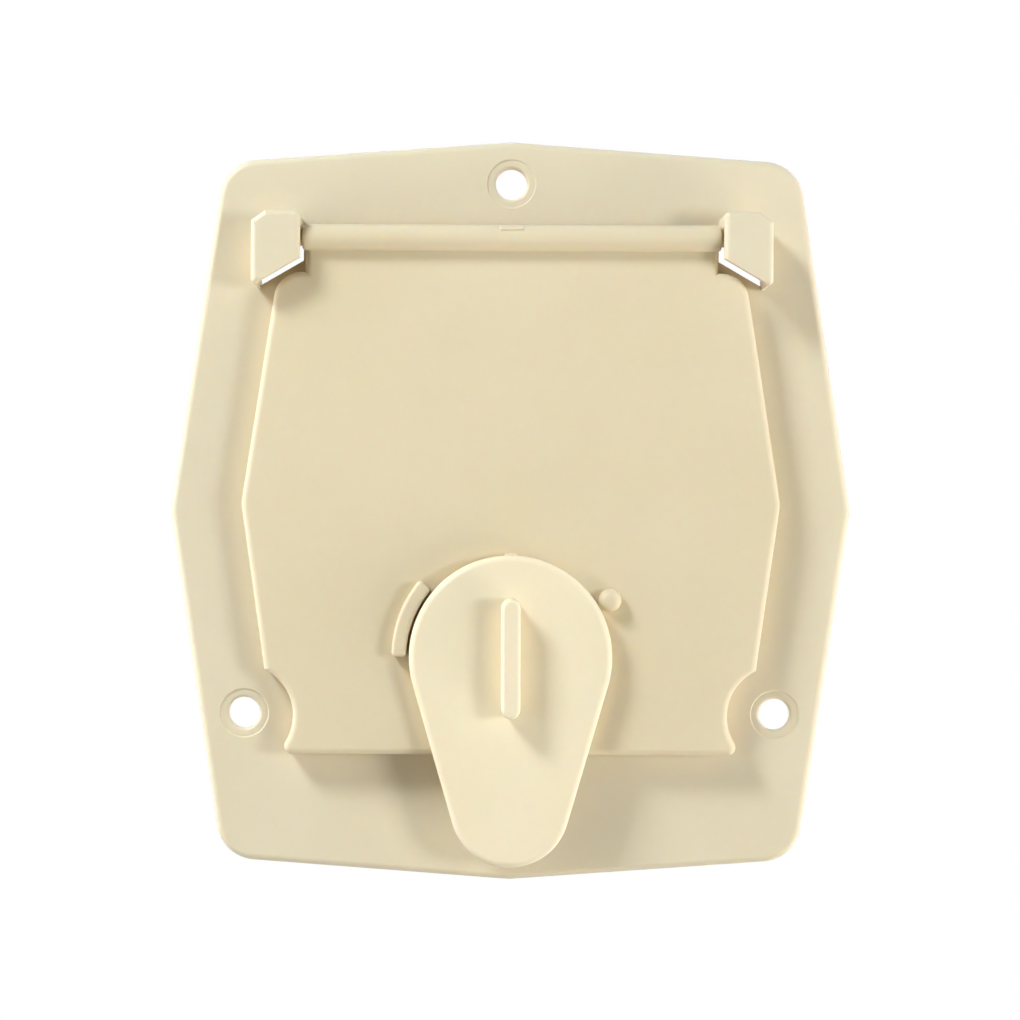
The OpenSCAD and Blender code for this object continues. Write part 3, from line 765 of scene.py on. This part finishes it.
def rib_outline(d):
    """The rib's outline, d inside its edge: two half circles joined by straight sides."""
    return joined(arc(pivot + (0, rib_end), rib_r - d, 0, 180, 24), arc(pivot - (0, rib_end), rib_r - d, 180, 360, 24))


rib = piece(
    "cover_grip", "cover",
    slab(rib_outline, joined(foot_edge(0.15, cover_face), front_edge(0.7, rib_high[2]))),
    "grip_rib",
)


def turned_over(part, at, height):
    """A part drawn upwards, turned over about the x axis, so that it stands at a height and points to the wall."""
    return placed(part, (at[0], at[1], height), (1, 0, 0), (0, -1, 0), (0, 0, -1))


web_low, web_high = flat_box("tail_web")
web_middle = (web_low[:2] + web_high[:2]) / 2
web_half = (web_high[:2] - web_low[:2]) / 2
web_corners = [(x * web_half[0], y * web_half[1], 0.1) for x, y in ((1, 1), (-1, 1), (-1, -1), (1, -1))]
web_rows = joined((0, -0.1), front_edge(0.3, web_high[2] - web_low[2], 4))
web_wall = slab(lambda d: rounded_outline(web_corners, d, 2), web_rows)
web = piece(
    "tail_stiffener", "cover",
    [turned_over(part, web_middle, web_high[2]) for part in web_wall],
    "tail_web",
)

# %% [markdown]
# ## The pivot behind the lid
# The cover's hub goes through the lid and is held behind it by a nylon washer and a zinc plated pan
# head screw with a cross recess. They show when the lid is up. All are turned shapes, apart from the
# recess: its outline shrinks as it goes down, to fit the tip of the tool.

# %% Build the hub, the washer and the screw
hub_low, hub_high = flat_box("pivot_hub")
hub_r, hub_edge = hub_high[0], 0.25
hub_rows = joined((hub_edge, hub_low[2]), (0, hub_low[2] + hub_edge), (0, hub_high[2] + 0.05))
hub = piece(
    "cover_hub", "cover", slab(lambda d: circle(pivot, hub_r - d), hub_rows), "pivot_hub",
)
washer_low, washer_high = flat_box("retaining_washer")
washer_r, washer_hole_r, washer_edge = washer_high[0], 1.7, 0.15
section = rounded_outline(rectangle(washer_hole_r, washer_r, washer_low[2], washer_high[2], washer_edge), 0, 3)
washer = piece(
    "nylon_washer", "cover",
    [quads(turned(pivot, joined(section, section[:1])))],
    "retaining_washer", slot="white_nylon",
)

screw_low, screw_high = flat_box("retaining_screw")
shank_r, head_r, head_t = 1.5, screw_high[0], washer_low[2] - screw_low[2]
crown_r, rim_t, recess_deep, arm, arm_half = 2.3, 0.5, 1.1, 1.9, 0.45


def cross(d):
    """The cross recess, d inside its edge: four arms of equal width with square ends."""
    a, b = arm - d, arm_half - d * 0.4
    quarter = np.array([(b, b), (b, a), (-b, a)])
    turns = [np.array([[math.cos(q), math.sin(q)], [-math.sin(q), math.cos(q)]]) for q in np.radians([0, 90, 180, 270])]
    return np.concatenate([quarter @ turn for turn in turns])


shank_tip = washer_low[2] - screw_high[2]
# the head's shoulder is a quarter of an ellipse from its rim up to its flat crown
shoulder = (crown_r, rim_t) + arc((0, 0), 1, 0, 90, 8) * (head_r - crown_r, head_t - rim_t)
head_rows = joined((0, shank_tip), (shank_r, shank_tip), (shank_r, 0), (head_r - 0.1, 0), (head_r, 0.15), shoulder)
recess_rows = joined((0, head_t), (0.7, head_t - recess_deep))
screw = piece(
    "pan_head_screw", "cover",
    [
        turned_over(part, pivot, washer_low[2])
        for part in (
            quads(turned((0, 0), head_rows, 48)),
            fill(head_t, circle((0, 0), crown_r, 48), cross(0)),
            quads(skin(cross, recess_rows)),
            fill(head_t - recess_deep, cross(0.7)),
        )
    ],
    "retaining_screw", slot="screw_steel", sharp=45,
)

# %% [markdown]
# ## Effects of moulding
# Four small node groups carry what a moulding shows up close, and each material sets its own values.
# Fine grain comes from the spark-eroded mould. Flow marks are broad, faint clouds in colour and gloss.
# Edges are handled and wear smoother, and the same edge mask paints a highlight on them, a lighter
# colour where the surface leans at 45 degrees. Specks are bits of dust in the plastic. All of them
# read Object coordinates or the object's own normal, so they move with a piece when a hinge turns.

# %% Helpers for node trees


def add_node(tree, kind, **settings):
    """A new node of a kind; a setting that names an input socket fills it, and any other sets a property."""
    made = tree.nodes.new(kind)
    for key, value in settings.items():
        label = key.replace("_", " ")
        if label in made.inputs:
            made.inputs[label].default_value = value
        else:
            setattr(made, key, value)
    return made


def link(tree, source, target):
    """Join an output socket to an input socket, or set the input to a number or a colour."""
    if isinstance(source, bpy.types.NodeSocket):
        tree.links.new(source, target)
    else:
        target.default_value = source


def maths(tree, operation, first, second=None, third=None, clamp=False):
    """A Math node on sockets or numbers, and its output."""
    made = add_node(tree, "ShaderNodeMath", operation=operation, use_clamp=clamp)
    for slot, value in zip(made.inputs, (first, second, third)):
        if value is not None:
            link(tree, value, slot)
    return made.outputs[0]


def smooth_steps(tree, value, low, high):
    """A Map Range node's output: 0 below low, 1 above high, smooth between."""
    made = add_node(tree, "ShaderNodeMapRange", interpolation_type="SMOOTHSTEP", From_Min=low, From_Max=high)
    link(tree, value, made.inputs["Value"])
    return made.outputs["Result"]


def new_group(name, inputs, output, place="Object"):
    """A group with float inputs (name, value) and one float output: its tree, a place to read, inputs and output."""
    tree = bpy.data.node_groups.new(name, "ShaderNodeTree")
    for label, value in inputs:
        tree.interface.new_socket(label, in_out="INPUT", socket_type="NodeSocketFloat").default_value = value
    tree.interface.new_socket(output, in_out="OUTPUT", socket_type="NodeSocketFloat")
    start, end = tree.nodes.new("NodeGroupInput"), tree.nodes.new("NodeGroupOutput")
    return tree, add_node(tree, "ShaderNodeTexCoord").outputs[place], start.outputs, end.inputs[0]


def noise(tree, place, scale, detail=2.0, roughness=0.5):
    """A Noise Texture's value on a place, at so many waves per metre."""
    made = add_node(tree, "ShaderNodeTexNoise", Detail=detail, Roughness=roughness)
    link(tree, place, made.inputs["Vector"])
    link(tree, scale, made.inputs["Scale"])
    return made.outputs["Fac"]


# %% [markdown]
# ## The four groups
# Each group is built once and held by several materials. It gives out a height or a mask only, and
# the shader stays in the material, which decides what to do with it.

# %% Build the four groups
grain_group, place, given, result = new_group("mould_grain", [("Grains per metre", 3500.0)], "Height")
fine = noise(grain_group, place, given[0], 3.0, 0.6)
coarse = noise(grain_group, place, maths(grain_group, "MULTIPLY", given[0], 0.21), 2.0)
link(grain_group, maths(grain_group, "ADD", fine, maths(grain_group, "MULTIPLY", coarse, 0.6)), result)

flow_group, place, given, result = new_group("flow_marks", [("Clouds per metre", 28.0)], "Mask")
clouds = noise(flow_group, place, given[0], 4.0, 0.55)
link(flow_group, smooth_steps(flow_group, clouds, 0.3, 0.7), result)

# the edge mask lowers roughness for wear, and the materials use it to paint a highlight: a lighter colour on edges
wear_and_highlight_group, normal, given, result = new_group("edge_wear_and_painted_highlight", [("Strength", 1.0)], "Mask", "Normal")
axes = add_node(wear_and_highlight_group, "ShaderNodeSeparateXYZ")
link(wear_and_highlight_group, normal, axes.inputs[0])
# s is the square of how far the surface faces out; 4 s (1 - s) is 1 at 45 degrees and 0 on faces and walls
out = maths(wear_and_highlight_group, "MULTIPLY", axes.outputs["Y"], axes.outputs["Y"])
lean = maths(wear_and_highlight_group, "MULTIPLY", maths(wear_and_highlight_group, "MULTIPLY", out, maths(wear_and_highlight_group, "SUBTRACT", 1.0, out)), 4.0)
link(wear_and_highlight_group, maths(wear_and_highlight_group, "MULTIPLY", lean, given[0], clamp=True), result)

speck_inputs = [("Cells per metre", 83.0), ("Share", 0.04)]
speck_group, place, given, result = new_group("dust_specks", speck_inputs, "Mask")
cells = add_node(speck_group, "ShaderNodeTexVoronoi", Randomness=1.0)
link(speck_group, place, cells.inputs["Vector"])
link(speck_group, given[0], cells.inputs["Scale"])
# a cell has a speck where its random colour is low; the speck is a small ball round the cell's point
tone = add_node(speck_group, "ShaderNodeSeparateColor")
link(speck_group, cells.outputs["Color"], tone.inputs[0])
chosen = maths(speck_group, "LESS_THAN", tone.outputs[0], given[1])
size = maths(speck_group, "MULTIPLY_ADD", tone.outputs[1], 0.01, 0.008)
ball = maths(speck_group, "LESS_THAN", cells.outputs["Distance"], size)
link(speck_group, maths(speck_group, "MULTIPLY", chosen, ball), result)
print("groups:", ", ".join(group.name for group in bpy.data.node_groups))

# %% [markdown]
# ## The cream plastic
# The mouldings are solid-coloured ABS with a satin skin. Light enters such plastic a millimetre or
# so and comes out warmer, which rounds off the shadows and makes thin edges glow. So the shader has a
# little subsurface scattering, red farthest and blue least. Gloss varies a little with flow marks and
# is higher on handled edges, and those edges also get a painted highlight, a lighter colour. Colours
# are written as sRGB numbers and turned into light values once.

# %% Build the plastics


def light_values(colour):
    """sRGB numbers as linear light: c / 12.92 below 0.04, else ((c + 0.055) / 1.055) to the power of 2.4."""
    c = np.array(colour)
    return (*np.where(c < 0.04045, c / 12.92, ((c + 0.055) / 1.055) ** 2.4), 1.0)


def grouped(tree, group, **values):
    """A node that holds a group, with its inputs set."""
    made = add_node(tree, "ShaderNodeGroup")
    made.node_tree = group
    for label, value in values.items():
        made.inputs[label.replace("_", " ")].default_value = value
    return made


def mixed(tree, mask, first, second):
    """A colour Mix node's output: the first colour where the mask is 0, the second where it is 1."""
    made = add_node(tree, "ShaderNodeMix", data_type="RGBA")
    for slot, value in ((0, mask), (6, first), (7, second)):
        link(tree, value, made.inputs[slot])
    return made.outputs[2]


def new_material(name):
    """A new material, its node tree and its Principled shader."""
    made = bpy.data.materials.new(name)
    made.use_nodes = True
    return made, made.node_tree, made.node_tree.nodes["Principled BSDF"]


speck_colour = (0.5, 0.42, 0.3)


def moulded_plastic(name, colour, flow_colour, rim_highlight_colour, roughness, grain, grain_deep, deep, specks, scatter):
    """A satin moulding: colour and gloss vary with flow marks, edges and specks, and a fine grain feeds the bump; the
    lighter colour on edges is a painted highlight.
    """
    made, tree, shader = new_material(name)
    flow = grouped(tree, flow_group).outputs["Mask"]
    edge = grouped(tree, wear_and_highlight_group).outputs["Mask"]
    speck = grouped(tree, speck_group, Share=specks).outputs["Mask"]
    tint = mixed(tree, flow, light_values(colour), light_values(flow_colour))
    # painted highlight: edges that lean at about 45 degrees get a lighter colour
    rim = mixed(tree, maths(tree, "MULTIPLY", edge, 0.6), tint, light_values(rim_highlight_colour))
    link(tree, mixed(tree, speck, rim, light_values(speck_colour)), shader.inputs["Base Color"])
    gloss = maths(tree, "MULTIPLY_ADD", flow, 0.06, roughness - 0.03)
    link(tree, maths(tree, "MULTIPLY_ADD", edge, -0.08, gloss), shader.inputs["Roughness"])
    bump = add_node(tree, "ShaderNodeBump", Strength=1.0, Distance=grain_deep)
    link(tree, grouped(tree, grain_group, Grains_per_metre=grain).outputs["Height"], bump.inputs["Height"])
    link(tree, bump.outputs["Normal"], shader.inputs["Normal"])
    shader.inputs["IOR"].default_value = 1.52
    shader.inputs["Specular IOR Level"].default_value = 0.2
    shader.inputs["Subsurface Weight"].default_value = scatter
    shader.inputs["Subsurface Radius"].default_value = (1.0, 0.42, 0.12)
    shader.inputs["Subsurface Scale"].default_value = deep
    return made


def cream(name, colour):
    """One of the cream mouldings: the same plastic, a little apart in colour from piece to piece; the cover's lighter
    cream is painted light, for the light its raised face catches.
    """
    r, g, b = colour
    return moulded_plastic(
        name, colour, (r - 0.012, g - 0.014, b - 0.022), (min(r + 0.02, 1), g + 0.025, b + 0.03),
        roughness=0.42, grain=3500.0, grain_deep=0.000012, deep=0.0013, specks=0.035, scatter=0.25,
    )


flange_cream = cream("flange_cream", (0.875, 0.82, 0.71))
lid_cream = cream("lid_cream", (0.87, 0.805, 0.68))
# the cover's cream is painted lighter than the lid's and the flange's, for the light its raised face catches
cover_cream_painted_lighter = cream("cover_cream_painted_lighter", (0.935, 0.875, 0.755))
washer_nylon = moulded_plastic(
    "washer_nylon", (0.9, 0.9, 0.87), (0.88, 0.88, 0.84), (0.93, 0.93, 0.9),
    roughness=0.5, grain=2500.0, grain_deep=0.00001, deep=0.002, specks=0.0, scatter=0.4,
)
print("plastics:", ", ".join(made.name for made in (flange_cream, lid_cream, cover_cream_painted_lighter, washer_nylon)))

# %% [markdown]
# ## The screw's zinc
# Zinc plating on a turned head is a soft mirror with fine rings from the die and dull patches. The
# rings are a wave of the distance from the screw's axis, so they need no picture.

# %% Build the zinc and give every piece its finish
zinc, tree, shader = new_material("screw_zinc")
to_axis = add_node(tree, "ShaderNodeMapping")
to_axis.inputs["Location"].default_value = (-pivot[0] * MM, 0, -pivot[1] * MM)
link(tree, add_node(tree, "ShaderNodeTexCoord").outputs["Object"], to_axis.inputs["Vector"])
rings = add_node(tree, "ShaderNodeTexWave", wave_type="RINGS", rings_direction="Y", Scale=900.0, Distortion=1.5)
link(tree, to_axis.outputs["Vector"], rings.inputs["Vector"])
patches = grouped(tree, flow_group, Clouds_per_metre=400.0).outputs["Mask"]
bright, dull = light_values((0.74, 0.74, 0.75)), light_values((0.66, 0.66, 0.65))
link(tree, mixed(tree, patches, bright, dull), shader.inputs["Base Color"])
link(tree, maths(tree, "MULTIPLY_ADD", patches, 0.15, 0.25), shader.inputs["Roughness"])
bump = add_node(tree, "ShaderNodeBump", Strength=0.5, Distance=0.00001)
link(tree, rings.outputs["Fac"], bump.inputs["Height"])
link(tree, bump.outputs["Normal"], shader.inputs["Normal"])
shader.inputs["Metallic"].default_value = 1.0

finishes = {
    flange_cream: (plate, collar, *brackets),
    lid_cream: (lid, rod, rod_gate, ring, curved_stop, round_stop),
    cover_cream_painted_lighter: (cover, cover_gate, rib, web, hub),
    washer_nylon: (washer,),
    zinc: (screw,),
}
for finish, pieces in finishes.items():
    for thing in pieces:
        thing.data.materials.append(finish)
    print(finish.name, "on", ", ".join(thing.name for thing in pieces))

# %% [markdown]
# ## The lamps
# The hatch was photographed for a catalogue: straight on and cut out on white. Its shadows tell where
# the light came from: small lamps on the right and the upper left rake across the raised parts,
# weaker ones fill in, and two that stand almost in the plane of the wall make the rims shine.

# %% Set the lamps


LAMP_AWAY = 0.8


def lamp(name, bearing, height, power, size, colour):
    """A square soft lamp aimed at the origin: bearing runs round the picture from the right, height is off the wall."""
    b, h = math.radians(bearing), math.radians(height)
    direction = Vector((math.cos(h) * math.cos(b), -math.sin(h), math.cos(h) * math.sin(b)))
    data = bpy.data.lights.new(name, "AREA")
    data.energy, data.size, data.color = power, size, colour
    made = new_object(name, data)
    made.location = direction * LAMP_AWAY
    made.rotation_euler = direction.to_track_quat("Z", "Y").to_euler()


# name, bearing and height in degrees, power in watts, size in metres, colour
lamps = [
    ("right_lamp", 0, 43, 2.9, 0.2, (0.87, 0.94, 1)),
    ("right_sheet", 0, 20, 0.5, 0.5, (0.85, 0.93, 1)),
    ("upper_left_lamp", 130, 27, 5.9, 0.2, (0.84, 0.93, 1)),
    ("left_sheet", 150, 20, 1.0, 0.5, (1, 0.97, 0.88)),
    ("left_lamp", 190, 38, 1.0, 0.3, (1, 0.98, 0.85)),
    ("left_rim_lamp", 180, 2, 4.0, 0.4, (0.9, 0.95, 1)),
    ("lower_right_lamp", 325, 20, 2.6, 0.3, (1, 0.98, 0.85)),
    ("right_rim_lamp", 0, 2, 2.6, 0.4, (1, 1, 0.95)),
]
for settings in lamps:
    lamp(*settings)
print(len(lamps), "lamps of", round(sum(settings[3] for settings in lamps), 1), "watts together")

# %% [markdown]
# ## A white studio
# Whoever looks at the world sees white, in a reflection as well. As a lamp it only lights the back of
# the hatch, from behind the wall's plane, so it doesn't wash out the shadows in front. A pale floor
# lies far below. It is seen nearly white, and a share of it stays diffuse and keeps shadows.

# %% Set the world and the floor


def seen_white(tree):
    """1 for camera, glossy and transmission rays, which show a white studio, and 0 for rays that carry light."""
    path = add_node(tree, "ShaderNodeLightPath").outputs
    seen = maths(tree, "MAXIMUM", path["Is Camera Ray"], path["Is Glossy Ray"])
    return maths(tree, "MAXIMUM", seen, path["Is Transmission Ray"])


world = bpy.data.worlds.new("white_studio")
bpy.context.scene.world = world
world.use_nodes = True
tree = world.node_tree
direction = add_node(tree, "ShaderNodeSeparateXYZ")
link(tree, add_node(tree, "ShaderNodeTexCoord").outputs["Generated"], direction.inputs[0])
back_light = 0.8
behind = maths(tree, "MULTIPLY", smooth_steps(tree, direction.outputs["Y"], 0.05, 0.4), back_light)
link(tree, maths(tree, "MAXIMUM", seen_white(tree), behind), tree.nodes["Background"].inputs["Strength"])
tree.nodes["Background"].inputs["Color"].default_value = (1, 1, 1, 1)

floor_half, floor_z, floor_glow = 3.0, -1.2, 0.8
floor_mesh = bpy.data.meshes.new("floor")
floor_mesh.from_pydata(
    [(x * floor_half, y * floor_half, floor_z) for x, y in ((-1, -1), (1, -1), (1, 1), (-1, 1))], [], [(0, 1, 2, 3)]
)
floor = new_object("floor", floor_mesh)
pale, tree, shader = new_material("pale_floor")
shader.inputs["Base Color"].default_value = (0.9, 0.9, 0.9, 1)
shader.inputs["Roughness"].default_value = 0.9
mix = add_node(tree, "ShaderNodeMixShader")
link(tree, maths(tree, "MULTIPLY", seen_white(tree), floor_glow), mix.inputs[0])
link(tree, shader.outputs[0], mix.inputs[1])
link(tree, add_node(tree, "ShaderNodeEmission", Strength=1.0).outputs[0], mix.inputs[2])
link(tree, mix.outputs[0], tree.nodes["Material Output"].inputs["Surface"])
floor_mesh.materials.append(pale)
print("world", world.name, "and floor", floor.name, "at", floor_z, "m")

# %% [markdown]
# ## The camera
# A long lens looks straight at the wall. It stands a little to the left, and the picture is shifted
# back by as much, so the wall's plane keeps its place and its right angles, as with a shift lens.

# %% Set the camera
camera_left, camera_away, camera_up, camera_roll = 0.009, 0.4525, 0.0001, -0.23
lens, sensor = 79.28, 36
camera = new_object("camera", bpy.data.cameras.new("camera"))
camera.location = (-camera_left, -camera_away, camera_up)
camera.rotation_euler = (math.radians(90), math.radians(camera_roll), 0)
camera.data.shift_x = camera_left / camera_away * lens / sensor
camera.data.lens = lens
camera.data.sensor_width = sensor
camera.data.clip_start = 0.01
bpy.context.scene.camera = camera
bpy.context.scene.view_settings.view_transform = "Standard"
print("camera", camera_away, "m away with a lens of", lens, "mm")
